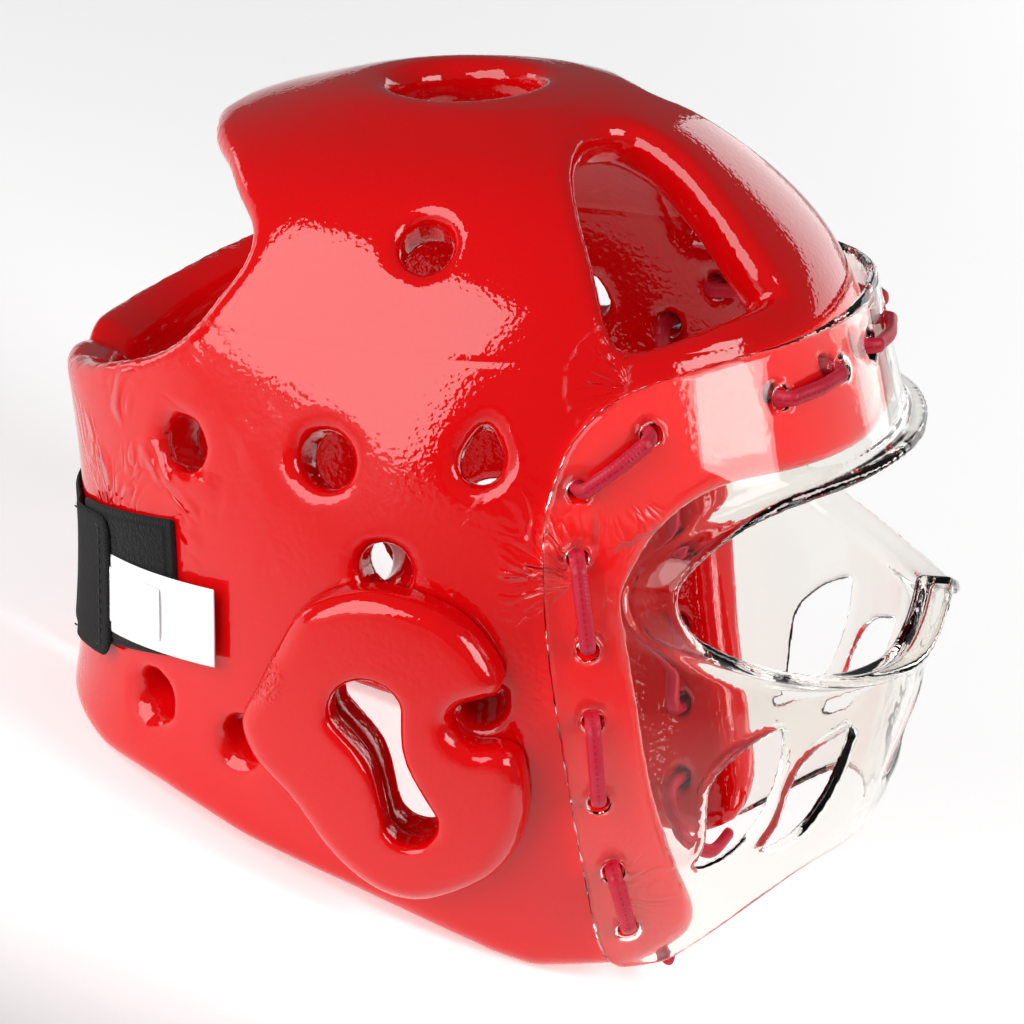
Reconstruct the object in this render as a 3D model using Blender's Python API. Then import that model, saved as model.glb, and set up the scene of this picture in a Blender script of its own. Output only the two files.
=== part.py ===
"""Taekwondo head guard: a dipped foam shell, two ear pads, a clear face shield laced on with one
cord, and a hook-and-loop strap across the slit at the back.

Lengths in the tables are millimetres on the guard as it is worn: forward is towards the face
(the world's -Y), side is to the wearer's left (+X), height is above the ends of the jaw. The
finished guard is leaned back until it rests on the jaw ends and on the rear flaps."""
import math

import bmesh
import bpy
import numpy as np

MM = 0.001
WELD = 0.02          # corners closer than this are one corner
TILT_BACK = 21.5     # degrees that the guard leans back when it is put down
REST_FORWARD = 20.0  # the front end of the jaw, which touches the ground
SHIFT_FORWARD = 45.5     # puts the middle of the bounding box on the origin

# Foam shell
WALL = 16.0          # thickness of the padding
WIDEST = -5.0        # forward place of the widest part of every level
ROUND_FRONT = 2.25   # exponent of the plan curve, 2 is an ellipse
ROUND_REAR = 2.2
HEAD_CENTRE = (0.0, -5.0, 126.0)   # side, forward, height: every opening is cut towards it

# Levels of the shell's outer form: height, front reach, rear reach, half width
SHELL_LEVELS = [
    (-12, 82, 127, 67),
    (26, 98, 131, 81.5),
    (54, 105, 132, 88.5),
    (72, 108.5, 129, 92),
    (100, 110.5, 126.5, 95.5),
    (126, 112, 126.5, 97),
    (150, 111, 129, 96),
    (172, 105.5, 132, 93),
    (188, 99, 130, 89.5),
    (201, 92, 123, 85),
    (213, 81, 113, 79),
    (229, 62.5, 96, 66),
    (240, 45, 71, 49),
    (246.5, 22, 42, 29),
    (249, -1, 9, 4),
]
# Levels of the clear shield's outer form, in the same columns
SHIELD_LEVELS = [
    (-14, 82, 100, 70),
    (2, 92, 100, 76),
    (16, 101, 100, 82),
    (36, 112, 100, 88.5),
    (56, 118.5, 100, 93.5),
    (76, 123, 100, 97.5),
    (96, 124, 100, 100),
    (126, 120.5, 100, 101.5),
    (148, 115.5, 100, 100.5),
    (166, 111.5, 100, 98),
    (181, 108, 100, 95),
    (196, 104.5, 100, 90),
]
SHIELD_THICK = 3.2

# Outlines seen from the wearer's right: forward, height. Closed curves run through the points.
TEMPLE_OPENING = [(28, 238), (36, 241), (52, 234), (68, 220), (82, 203), (84, 199), (76, 197.5),
                  (62, 194), (51, 192.5), (45.5, 196), (38, 215)]
FACE_EDGE = [(113, 151), (95, 152), (80, 152), (69, 148), (60, 140), (54, 130), (51, 115),
             (53, 100), (55, 84), (58, 58), (62, 38), (67, 16), (74, -12)]
REAR_EDGE = [(-92, 233), (-79, 231), (-72, 226), (-65, 219), (-65, 211), (-72, 201),
             (-81, 190), (-92, 182), (-106, 176), (-120, 170), (-140, 163)]
# The jaw ends and the rear flaps have a flat each, which lies on the ground
JAW_LINE = [(-101, 50.5), (-91, 48), (-77, 42.5), (-65, 37), (-46, 30), (-32, 24.5), (-17, 17.5),
            (-6, 12), (3, 7.6)]
CHIN_LINE = [(46, 0), (53, 3), (60, 7.5), (65, 13), (69, 21), (75, 24), (160, 24)]
REAR_FLAT = -112.0
JAW_FLAT = 8.0
PAD_OUTLINE = [(-58, 80), (-54, 89), (-46, 105), (-40, 115), (-31, 121), (-20, 124), (-8, 122.5),
               (4, 117.5), (12, 109), (16, 99.5), (12, 96), (5, 93.5), (1.5, 88), (3.5, 82),
               (9, 78.5), (16, 78.5), (20.5, 75), (22, 63), (20.5, 52), (14, 41), (4, 34), (-9, 29.5),
               (-21, 32.5), (-33, 43), (-44, 59), (-54, 69.5)]
SHIELD_OUTLINE = [(45, 1.5), (40, 9), (37, 38), (33, 75), (29, 112), (28, 141), (30, 154),
                  (36, 169), (48, 180), (69, 186), (93, 189), (112, 192), (150, 196),
                  (150, 33), (112, 31), (98, 29), (87, 23), (67, 8.5), (57, 2.5)]

# Round vents of the shell, one side: forward, height, bore radius, flare radius
VENTS = [(-10, 219, 7.5, 11.5), (-81, 157, 7.5, 11), (-36, 159, 8, 12), (-93, 75, 7, 10.5),
         (-18, 128, 7.5, 11), (-63, 68, 7, 11), (9, 89, 8, 8.5)]
ALMOND_VENT = [(11, 172.5), (16.5, 164), (15, 157), (10, 154.5), (4.5, 157), (4, 164)]
CROWN_HOLE = (-14, 20.5, 24.5)     # forward place, bore radius, flare radius
REAR_SLIT_WIDTH = 7.0
REAR_SLIT_TOP = 138.0
SLIT_CORNER = [(14, -20), (14, 54), (6, 58), (1.5, 66), (0, 76)]    # beyond the slit's edge, height

# Keyhole through pad and shell: forward, height, radius of the round ends and the waist
KEYHOLE = [(-21, 88, 10.8), (-15.5, 73, 5.6), (-9.5, 55, 7.9)]
PAD_DEPTH = 14.0

# Eye opening of the shield, right half seen from the front: side, height
EYE_OUTLINE = [(0, 146), (-30, 147), (-61, 146), (-75, 143.5), (-84, 138), (-89.5, 130), (-91, 122),
               (-89, 112), (-83, 104), (-74, 98), (-61, 93), (-45, 91), (-30, 92.5), (-14, 99),
               (0, 104.5)]
EYE_RIM_WIDTH = 3.2
EYE_RIM_FORWARD = [(91, 8.5), (147, 5.5)]     # height, how far the rim stands forward

# Breathing slots of the shield, right half: forward, height
SLOTS = {
    "outer": [(68.5, 35), (72, 45), (73.5, 62), (80, 71), (89, 77), (93, 77.5), (92.5, 68),
              (90, 58), (85, 47), (77, 38)],
    "inner": [(86, 37.5), (91, 47), (94, 57), (97, 64), (101, 69), (106, 71.5), (109.5, 72.5),
              (108.5, 67), (104.5, 56), (100, 47.5), (94.5, 41)],
}
CHIN_SLOT = [(0, 71), (-6, 66), (-13, 57), (-17, 50), (-14, 47.5), (0, 47)]   # side, height

# Lacing holes on the right half, from the chin up to the middle of the brow: forward, height
LACE_HOLES = [(49, 16), (46, 37), (43, 60), (42, 86), (41, 108), (38, 135), (38, 154), (57, 169),
              (90, 174), (103, 176.5), (108, 177.5)]
LACE_RADIUS = 2.4
LACE_CLEAR = 0.8     # between the lace and the face that it lies on
HOLE_RADIUS = 3.3
STITCH_ROUND = 80.0  # radius that a stitch on the face bows round
LACE_END = [(-52, 57, 0), (-41, 53, -2), (-33, 46, 6)]     # side, forward, height

# Strap, loop patch and label at the back. Each row is a place along the band: plan angle (0 at
# the front, 90 at the right side, 180 behind), height off the foam, bottom, top.
STRAP = [(214, 0.3, 84, 126), (160, 0.3, 84, 126), (155, 2.6, 84, 126.5), (142.3, 2.6, 84.5, 128)]
PATCH = [(154, 0.5, 85.5, 128), (127, 0.5, 92, 134)]
LABEL = [(142, 2.6, 93, 117), (118.3, 3.6, 93, 117)]
BAND_THICK = {"rear_strap": 1.6, "loop_patch": 1.8, "label": 0.8}

COLOURS = {
    "red_foam": ((0.78, 0.012, 0.016, 1.0), 0.12),
    "clear": ((0.93, 0.92, 0.88, 1.0), 0.05),
    "lace_red": ((0.42, 0.015, 0.045, 1.0), 0.7),
    "black_web": ((0.02, 0.02, 0.02, 1.0), 0.8),
    "white_tape": ((0.85, 0.84, 0.84, 1.0), 0.5),
}


def clear_scene():
    for old in list(bpy.data.objects):
        bpy.data.objects.remove(old, do_unlink=True)


def finish(name):
    colour, roughness = COLOURS[name]
    material = bpy.data.materials.get(name)
    if material is None:
        material = bpy.data.materials.new(name)
        material.use_nodes = True
        shader = material.node_tree.nodes["Principled BSDF"]
        shader.inputs["Base Color"].default_value = colour
        shader.inputs["Roughness"].default_value = roughness
        if name == "clear":
            shader.inputs["Transmission Weight"].default_value = 1.0
    return material


def world(side, forward, height):
    """The place in metres of a point of the worn guard, once the guard leans back at rest."""
    c, s = math.cos(math.radians(TILT_BACK)), math.sin(math.radians(TILT_BACK))
    ahead_by = forward * c - height * s + SHIFT_FORWARD
    up_by = (forward - REST_FORWARD) * s + height * c
    return (side * MM, -ahead_by * MM, up_by * MM)


def ground(forward):
    """Height of the ground under the leaning guard."""
    return (REST_FORWARD - forward) * math.tan(math.radians(TILT_BACK))


def level(rows, height):
    """Front reach, rear reach and half width at a height, on a smooth curve through the rows."""
    heights = np.array([row[0] for row in rows], float)
    values = np.array([row[1:] for row in rows], float)
    steps = np.diff(heights)
    slopes = np.diff(values, axis=0) / steps[:, None]
    tangents = np.vstack([slopes[:1], (slopes[1:] + slopes[:-1]) / 2, slopes[-1:]])
    height = min(max(height, heights[0]), heights[-1])
    i = min(int(np.searchsorted(heights, height, side="right")) - 1, len(rows) - 2)
    t = (height - heights[i]) / steps[i]
    a, b = values[i], values[i + 1]
    ta, tb = tangents[i] * steps[i], tangents[i + 1] * steps[i]
    return (a * (2 * t**3 - 3 * t**2 + 1) + ta * (t**3 - 2 * t**2 + t)
            + b * (3 * t**2 - 2 * t**3) + tb * (t**3 - t**2))


def around(rows, height, angle, off=0.0):
    """A point of a form: angle in degrees, 0 at the front, 90 at the right side, 180 behind."""
    front, rear, half = level(rows, height) + off
    c, s = math.cos(math.radians(angle)), math.sin(math.radians(angle))
    reach, n = (front - WIDEST, ROUND_FRONT) if c > 0 else (rear + WIDEST, ROUND_REAR)
    side = -half * math.copysign(abs(s) ** (2 / n), s)
    return (side, WIDEST + reach * math.copysign(abs(c) ** (2 / n), c), height)


def beside(rows, forward, height, off=0.0):
    """Half width of a form at a forward place and height."""
    front, rear, half = level(rows, height) + off
    reach, n = (front - WIDEST, ROUND_FRONT) if forward > WIDEST else (rear + WIDEST, ROUND_REAR)
    share = min(abs(forward - WIDEST) / max(reach, 1e-6), 1.0)
    return half * (1 - share**n) ** (1 / n)


def ahead(rows, side, height, off=0.0):
    """Forward place of a form's front at a side place and height."""
    front, _, half = level(rows, height) + off
    share = min(abs(side) / half, 1.0)
    return WIDEST + (front - WIDEST) * (1 - share**ROUND_FRONT) ** (1 / ROUND_FRONT)


def smooth_outline(points, steps=3, closed=True):
    """More points along a Catmull-Rom curve through the given ones."""
    points = [np.array(p, float) for p in points]
    count = len(points)
    result = []
    for i in range(count if closed else count - 1):
        p1, p2 = points[i], points[(i + 1) % count]
        p0 = points[i - 1] if closed or i > 0 else p1
        p3 = points[(i + 2) % count] if closed or i + 2 < count else p2
        for k in range(steps):
            t = k / steps
            result.append(tuple(0.5 * (2 * p1 + (p2 - p0) * t + (2 * p0 - 5 * p1 + 4 * p2 - p3) * t**2
                                       + (3 * p1 - p0 - 3 * p2 + p3) * t**3)))
    if not closed:
        result.append(tuple(points[-1]))
    return result


def new_object(name, bm, material=None, smooth=True):
    bmesh.ops.recalc_face_normals(bm, faces=bm.faces)
    mesh = bpy.data.meshes.new(name)
    bm.to_mesh(mesh)
    bm.free()
    obj = bpy.data.objects.new(name, mesh)
    bpy.context.scene.collection.objects.link(obj)
    if material:
        mesh.materials.append(finish(material))
    if smooth:
        mesh.shade_smooth()
        mesh.set_sharp_from_angle(angle=math.radians(40))
    return obj


def loft(bm, loops, cap="fan"):
    """Joins closed loops of the same count into one closed body; flat ends have one face each."""
    rings = [[bm.verts.new(world(*p)) for p in loop] for loop in loops]
    count = len(rings[0])
    for low, high in zip(rings, rings[1:]):
        for k in range(count):
            m = (k + 1) % count
            bm.faces.new((low[k], low[m], high[m], high[k]))
    for ring in (rings[0], rings[-1]):
        if cap == "flat":
            bm.faces.new(ring)
        elif cap == "fan":
            centre = bm.verts.new(np.mean([v.co for v in ring], axis=0))
            for k in range(count):
                bm.faces.new((ring[k], ring[(k + 1) % count], centre))


def slab(bm, point, rows, columns):
    """A closed curved slab: point(r, c, layer) for two layers over a grid."""
    layers = [[[bm.verts.new(world(*point(r, c, layer))) for c in columns] for r in rows]
              for layer in (0, 1)]
    last_row, last_column = len(rows) - 1, len(columns) - 1
    for layer in layers:
        for r in range(last_row):
            for c in range(last_column):
                bm.faces.new((layer[r][c], layer[r][c + 1], layer[r + 1][c + 1], layer[r + 1][c]))
    low, high = layers
    for c in range(last_column):
        for r in (0, last_row):
            bm.faces.new((low[r][c], low[r][c + 1], high[r][c + 1], high[r][c]))
    for r in range(last_row):
        for c in (0, last_column):
            bm.faces.new((low[r][c], low[r + 1][c], high[r + 1][c], high[r][c]))


def cutter(name, bm):
    obj = new_object(name, bm, smooth=False)
    obj.hide_render = True
    obj.display_type = 'WIRE'
    return obj


def towards_centre(point, share):
    return tuple(c + (p - c) * share for p, c in zip(point, HEAD_CENTRE))


def radial_cut(bm, loop, inner=0.6, outer=1.25):
    """A body that runs from the head's centre out through a loop of points on a form."""
    loft(bm, [[towards_centre(p, share) for p in loop] for share in (inner, outer)])


def round_cut(bm, place, radii, sides=16):
    """A turned body about the line from the head's centre through a place. radii: depth, radius."""
    axis = np.array(place) - np.array(HEAD_CENTRE)
    axis /= np.linalg.norm(axis)
    across = np.cross(axis, (0.0, 0.6, 0.8))
    across /= np.linalg.norm(across)
    other = np.cross(axis, across)
    loops = []
    for depth, radius in radii:
        centre = np.array(place) + axis * depth
        loops.append([tuple(centre + radius * (math.cos(a) * across + math.sin(a) * other))
                      for a in np.linspace(0, 2 * math.pi, sides, endpoint=False)])
    loft(bm, loops, "flat")


def through_cut(bm, outline, direction, start, end):
    """A straight body: the outline is in side view (forward, height) or front view (side, height)."""
    if direction == "side":
        loops = [[(s, f, h) for f, h in outline] for s in (start, end)]
    else:
        loops = [[(s, f, h) for s, h in outline] for f in (start, end)]
    loft(bm, loops, "flat")


def subtract(obj, *tools, operation='DIFFERENCE'):
    for tool in tools:
        modifier = obj.modifiers.new(tool.name, 'BOOLEAN')
        modifier.operation = operation
        modifier.solver = 'EXACT'
        modifier.object = tool


def weld(obj):
    """Joins the doubled corners that the cuts leave."""
    obj.modifiers.new("weld", 'WELD').merge_threshold = WELD * MM


def both_sides(loop):
    return [loop, [(-s, f, h) for s, f, h in loop]]


def across_middle(edge):
    """A loop that follows an edge down the right side and comes back up the left one."""
    right = [(-s, f, h) for s, f, h in edge]
    return right + [(-s, f, h) for s, f, h in reversed(right) if s < -1e-6]


def keyhole_outline(grow=0.0):
    """Round ends joined by a waist, as (forward, height) points."""
    stations = smooth_outline([row for row in KEYHOLE], 3, closed=False)
    places = np.array([s[:2] for s in stations])
    radii = np.array([s[2] for s in stations]) + grow
    along = (places[-1] - places[0]) / np.linalg.norm(places[-1] - places[0])
    beyond = np.array([-along[1], along[0]])
    angle = math.atan2(beyond[1], beyond[0])
    one = [places[i] + beyond * radii[i] for i in range(1, len(places) - 1)]
    other = [places[i] - beyond * radii[i] for i in range(len(places) - 2, 0, -1)]
    arcs = []
    for place, radius, turn in ((places[-1], radii[-1], -1), (places[0], radii[0], 1)):
        first = angle if turn < 0 else angle + math.pi
        arcs.append([place + radius * np.array([math.cos(first - a), math.sin(first - a)])
                     for a in np.linspace(0, math.pi, 7)])
    return [tuple(p) for p in one + arcs[0] + other + arcs[1]]


def make_shell():
    heights = []
    for low, high in zip(SHELL_LEVELS, SHELL_LEVELS[1:]):
        heights += [low[0]] + ([(low[0] + high[0]) / 2] if high[0] - low[0] > 20 else [])
    heights.append(SHELL_LEVELS[-1][0])
    angles = np.linspace(0, 360, 36, endpoint=False)
    bm = bmesh.new()
    rings = [[bm.verts.new(world(*around(SHELL_LEVELS, h, a))) for a in angles] for h in heights]
    count = len(angles)
    for low, high in zip(rings, rings[1:]):
        for k in range(count):
            m = (k + 1) % count
            bm.faces.new((low[k], low[m], high[m], high[k]))
    bm.faces.new(rings[-1])
    shell = new_object("shell", bm, "red_foam")
    solid = shell.modifiers.new("padding", 'SOLIDIFY')
    solid.thickness = WALL * MM
    solid.offset = -1.0
    solid.use_even_offset = True

    bm = bmesh.new()
    flats = [(f, ground(f)) for f in (-160.0, REAR_FLAT, JAW_FLAT, REST_FORWARD)]
    below = flats[:2] + JAW_LINE + flats[2:] + CHIN_LINE + [(160, -60), (-160, -60)]
    through_cut(bm, below, "side", -140, 140)
    jaw = cutter("cut_jaw", bm)

    bm = bmesh.new()
    edge = [(beside(SHELL_LEVELS, f, h), f, h) for f, h in smooth_outline(FACE_EDGE, 2, False)]
    radial_cut(bm, across_middle(edge), 0.45, 2.3)
    face = cutter("cut_face", bm)

    bm = bmesh.new()
    edge = [(beside(SHELL_LEVELS, f, h), f, h) for f, h in smooth_outline(REAR_EDGE, 2, False)]
    radial_cut(bm, across_middle(edge), 0.4, 2.3)
    rear = cutter("cut_rear", bm)

    bm = bmesh.new()
    half, round_top = REAR_SLIT_WIDTH / 2, REAR_SLIT_TOP - REAR_SLIT_WIDTH / 2
    right = [(half + over, h) for over, h in SLIT_CORNER] + [(half, round_top)]
    slit = right + [(half * math.cos(a), round_top + half * math.sin(a))
                    for a in np.linspace(0.6, math.pi - 0.6, 4)]
    slit += [(-s, h) for s, h in reversed(right)]
    through_cut(bm, slit, "front", -170, -90)
    slit_cut = cutter("cut_slit", bm)

    bm = bmesh.new()
    temple = [(-beside(SHELL_LEVELS, f, h), f, h) for f, h in smooth_outline(TEMPLE_OPENING, 2)]
    almond = [(-beside(SHELL_LEVELS, f, h), f, h) for f, h in smooth_outline(ALMOND_VENT, 2)]
    for loop in both_sides(temple) + both_sides(almond):
        radial_cut(bm, loop)
    for forward, height, bore, flare in VENTS:
        side = beside(SHELL_LEVELS, forward, height)
        for s in (-side, side):
            round_cut(bm, (s, forward, height),
                      [(-30, bore), (-4, bore), (0, flare), (6, flare)], 12)
    forward, bore, flare = CROWN_HOLE
    round_cut(bm, (0, forward, SHELL_LEVELS[-1][0]),
              [(-40, bore), (-6, bore), (-1.5, flare), (10, flare)], 24)
    vents = cutter("cut_vents", bm)

    bm = bmesh.new()
    for start, end in ((-130, -60), (60, 130)):
        through_cut(bm, keyhole_outline(0.6), "side", start, end)
    ears = cutter("cut_ears", bm)
    subtract(shell, jaw, face, rear, slit_cut, vents, ears)
    return shell


def make_pads():
    heights = np.linspace(24, 130, 9)
    forwards = np.linspace(-64, 27, 9)
    for name, turn in (("ear_pad_right", -1), ("ear_pad_left", 1)):
        bm = bmesh.new()
        slab(bm, lambda h, f, layer: (turn * beside(SHELL_LEVELS, f, h, (0.6, PAD_DEPTH)[layer]), f, h),
             heights, forwards)
        pad = new_object(name, bm, "red_foam")
        bm = bmesh.new()
        through_cut(bm, smooth_outline(PAD_OUTLINE, 2), "side", turn * 70, turn * 130)
        subtract(pad, cutter(f"keep_{name}", bm), operation='INTERSECT')
        bm = bmesh.new()
        through_cut(bm, keyhole_outline(), "side", turn * 60, turn * 140)
        subtract(pad, cutter(f"cut_{name}", bm))


def make_shield():
    heights = np.linspace(SHIELD_LEVELS[0][0], SHIELD_LEVELS[-1][0], 12)
    angles = np.linspace(-84, 84, 21)
    bm = bmesh.new()
    slab(bm, lambda h, a, layer: around(SHIELD_LEVELS, h, a, (-SHIELD_THICK, 0.0)[layer]),
         heights, angles)
    shield = new_object("face_shield", bm, "clear")

    bm = bmesh.new()
    through_cut(bm, smooth_outline(SHIELD_OUTLINE[:13], 2, False) + SHIELD_OUTLINE[13:],
                "side", -130, 130)
    keep = cutter("keep_shield", bm)

    right = smooth_outline(EYE_OUTLINE, 2, False)
    outline = right + [(-s, h) for s, h in reversed(right[1:-1])]
    centre = np.array([0.0, 120.0])

    def grown(by):
        """The eye outline moved outwards, square to itself."""
        pts = np.array(outline)
        tangent = np.roll(pts, -1, axis=0) - np.roll(pts, 1, axis=0)
        normal = np.stack([tangent[:, 1], -tangent[:, 0]], 1)
        normal /= np.linalg.norm(normal, axis=1)[:, None]
        if np.dot(normal[len(pts) // 4], pts[len(pts) // 4] - centre) < 0:
            normal = -normal
        return pts + normal * by

    bm = bmesh.new()
    through_cut(bm, [tuple(p) for p in grown(EYE_RIM_WIDTH / 2)], "front", 20, 150)
    eye = cutter("cut_eye", bm)

    bm = bmesh.new()
    inner, outer = grown(0.0), grown(EYE_RIM_WIDTH)
    lows, tall = zip(*EYE_RIM_FORWARD)

    def rim_loop(pts, front):
        """Base of the rim in the shield, or its free edge, which lies ahead of the inner outline."""
        loop = []
        for (side, height), (base_side, base_height) in zip(pts, inner if front else pts):
            shift = np.interp(base_height, lows, tall) if front else -SHIELD_THICK / 2
            loop.append((side, ahead(SHIELD_LEVELS, base_side, base_height) + shift, height))
        return loop

    loops = [rim_loop(inner, False), rim_loop(inner, True), rim_loop(outer, True),
             rim_loop(outer, False)]
    loft(bm, loops + loops[:1], None)
    bmesh.ops.remove_doubles(bm, verts=bm.verts, dist=1e-6)
    rim = cutter("join_rim", bm)

    bm = bmesh.new()
    for outline_points in SLOTS.values():
        slot = [(-beside(SHIELD_LEVELS, f, h), f, h) for f, h in smooth_outline(outline_points, 2)]
        for loop in both_sides(slot):
            radial_cut(bm, loop, 0.8, 1.2)
    right = smooth_outline(CHIN_SLOT, 2, False)
    chin = [(s, ahead(SHIELD_LEVELS, s, h), h) for s, h in
            right + [(-s, h) for s, h in reversed(right[1:-1])]]
    radial_cut(bm, chin, 0.8, 1.2)
    slots = cutter("cut_slots", bm)
    subtract(shield, keep, operation='INTERSECT')
    subtract(shield, eye)
    subtract(shield, rim, operation='UNION')
    subtract(shield, slots)
    return shield


def lace_hole_places():
    """Where the lace goes through, from the right end to the left: side, forward, height."""
    right = [(-beside(SHIELD_LEVELS, f, h), f, h) for f, h in LACE_HOLES]
    return right + [(-s, f, h) for s, f, h in reversed(right)]


def lace_axis(place):
    """Level direction straight out of the shield at a hole."""
    side, forward, height = place
    front, _, half = level(SHIELD_LEVELS, height)
    share = (forward - WIDEST) / (front - WIDEST)
    slope = np.array([math.copysign(abs(side / half) ** (ROUND_FRONT - 1) / half, side),
                      share ** (ROUND_FRONT - 1) / (front - WIDEST), 0.0])
    return slope / np.linalg.norm(slope)


def make_lace(shell, shield):
    places = [np.array(p) for p in lace_hole_places()]
    axes = [lace_axis(p) for p in places]
    over = LACE_RADIUS + LACE_CLEAR

    bm = bmesh.new()
    for place, axis in zip(places, axes):
        across = np.cross(axis, (0.0, 0.0, 1.0))
        loops = []
        for depth in (-36.0, 8.0):
            centre = place + axis * depth
            loops.append([tuple(centre + HOLE_RADIUS * (math.cos(a) * across
                                                        + math.sin(a) * np.array([0, 0, 1.0])))
                          for a in np.linspace(0, 2 * math.pi, 8, endpoint=False)])
        loft(bm, loops, "flat")
    holes = cutter("cut_lace_holes", bm)
    for obj in (shell, shield):
        subtract(obj, holes)
        weld(obj)

    def inside_depth(place, axis):
        """How far along the axis the lace lies behind the shield's face to clear the foam."""
        depth, behind = 0.0, WALL + 1.5
        while depth > -60.0:
            side, forward, height = place + axis * depth
            if abs(side) < beside(SHELL_LEVELS, forward, height, -behind) and \
                    forward < level(SHELL_LEVELS, height)[0] - behind:
                break
            depth -= 0.25
        return depth - over

    inside = [p + a * inside_depth(p, a) for p, a in zip(places, axes)]
    outside = [p + a * over for p, a in zip(places, axes)]
    chin = inside[0] + np.array([6.0, 0, -5.0])
    route = [np.array(p, float) for p in LACE_END] + [chin]
    for i in range(len(places)):
        route += [inside[i], outside[i]] if i % 2 == 0 else [outside[i], inside[i]]
        if i + 1 < len(places):
            if i % 2 == 0:
                # A stitch on the face bows round the shield between its two holes
                a, b = outside[i], outside[i + 1]
                out = axes[i] + axes[i + 1]
                bow = np.dot(b - a, b - a) / (8 * STITCH_ROUND)
                route.append((a + b) / 2 + out / np.linalg.norm(out) * bow)
            else:
                route.append((inside[i] + inside[i + 1]) / 2)
    mirror = np.array([-1.0, 1.0, 1.0])
    route += [p * mirror for p in reversed(route[:len(LACE_END) + 1])]

    curve = bpy.data.curves.new("lace", 'CURVE')
    curve.dimensions = '3D'
    curve.bevel_depth = LACE_RADIUS * MM
    curve.bevel_resolution = 2
    curve.use_fill_caps = True
    line = curve.splines.new('POLY')
    line.points.add(len(route) - 1)
    for point, place in zip(line.points, route):
        point.co = (*world(*place), 1.0)
    lace = bpy.data.objects.new("lace", curve)
    bpy.context.scene.collection.objects.link(lace)
    curve.materials.append(finish("lace_red"))


def make_band(name, rows, material):
    """A thin band on the foam, through the rows of its table."""
    rows = np.array(rows, float)
    turned = np.concatenate([[0.0], np.cumsum(np.abs(np.diff(rows[:, 0])))])
    along = np.unique(np.concatenate([turned, np.arange(0.0, turned[-1] - 3.0, 6.0)]))
    places = [[np.interp(x, turned, rows[:, k]) for k in range(4)] for x in along]
    bm = bmesh.new()
    slab(bm, lambda share, place, layer: around(
        SHELL_LEVELS, place[2] + (place[3] - place[2]) * share, place[0],
        place[1] + BAND_THICK[name] * layer), np.linspace(0, 1, 4), places)
    return new_object(name, bm, material)


clear_scene()
shell_object = make_shell()
make_pads()
shield_object = make_shield()
make_lace(shell_object, shield_object)
make_band("rear_strap", STRAP, "black_web")
make_band("loop_patch", PATCH, "black_web")
make_band("label", LABEL, "white_tape")
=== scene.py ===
import math

import bpy
import numpy as np
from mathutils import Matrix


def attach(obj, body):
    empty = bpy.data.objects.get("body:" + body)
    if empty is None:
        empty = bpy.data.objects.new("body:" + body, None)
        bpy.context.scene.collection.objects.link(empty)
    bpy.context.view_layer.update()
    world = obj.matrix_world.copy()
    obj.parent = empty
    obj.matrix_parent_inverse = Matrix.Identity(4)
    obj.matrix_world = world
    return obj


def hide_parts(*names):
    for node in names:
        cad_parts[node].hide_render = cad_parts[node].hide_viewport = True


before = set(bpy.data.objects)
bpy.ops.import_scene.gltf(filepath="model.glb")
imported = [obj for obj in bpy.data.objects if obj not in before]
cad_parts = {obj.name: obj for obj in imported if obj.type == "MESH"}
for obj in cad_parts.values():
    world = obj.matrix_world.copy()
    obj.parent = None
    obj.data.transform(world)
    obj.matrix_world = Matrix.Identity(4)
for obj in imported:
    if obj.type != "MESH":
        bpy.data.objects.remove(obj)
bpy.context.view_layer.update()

import openvdb
from mathutils import Matrix, Vector

# Camera, table and lamps:
# The guard leans back on a pale table, on its jaw ends and rear flaps. Its sizes below are given as
# it is worn, in millimetres: side (to the wearer's left), forward and height over the jaw ends.
LEAN_BACK = 21.5      # degrees
JAW_END = 20.0        # forward place that it turns about
TO_MIDDLE = 45.5      # brings the leaning guard over the middle of the table
CAMERA_AIM, CAMERA_AWAY = (0, 0, 116), 2.0      # the place that it looks at, and metres from there
LAMP_AIM = (0, 0, 120)
ROOM_LIGHT, BACKDROP_LIGHT = 0.13, 0.8
TABLE_PAINTED_GLOW_AND_SHADE_SPAN = (-0.12, -0.32)      # from where to where, in metres, the table's painted glow fades out and its colour darkens into painted shade on the camera's side


def put_down(places):
    """Places on the worn guard, in millimetres, moved to where it leans on the table, in metres."""
    places = np.asarray(places, float)
    c, s = math.cos(math.radians(LEAN_BACK)), math.sin(math.radians(LEAN_BACK))
    side, forward, height = places[..., 0], places[..., 1], places[..., 2]
    return np.stack([side, -(forward * c - height * s + TO_MIDDLE),
                     (forward - JAW_END) * s + height * c], -1) / 1000


def lean(direction):
    """A direction on the worn guard, turned with it."""
    return Vector(put_down(np.array(direction) * 1000.0) - put_down(np.zeros(3)))


turn_to_front, above = math.radians(11.3), math.radians(18.0)
towards_camera = (-math.cos(turn_to_front) * math.cos(above),
                  math.sin(turn_to_front) * math.cos(above), math.sin(above))
picture_right = (math.sin(turn_to_front), math.cos(turn_to_front), 0.0)
picture_up = tuple(np.cross(picture_right, towards_camera))
lens = bpy.data.cameras.new("camera")
lens.sensor_width, lens.lens, lens.clip_end = 36.0, 239.06, 20.0
camera = bpy.data.objects.new("camera", lens)
bpy.context.scene.collection.objects.link(camera)
right, up, back = (lean(d) for d in (picture_right, picture_up, towards_camera))
camera.matrix_world = Matrix.Translation(Vector(put_down(CAMERA_AIM)) + back * CAMERA_AWAY) @ Matrix(
    ((right.x, up.x, back.x, 0), (right.y, up.y, back.y, 0), (right.z, up.z, back.z, 0), (0, 0, 0, 1)))
bpy.context.scene.camera = camera


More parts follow.
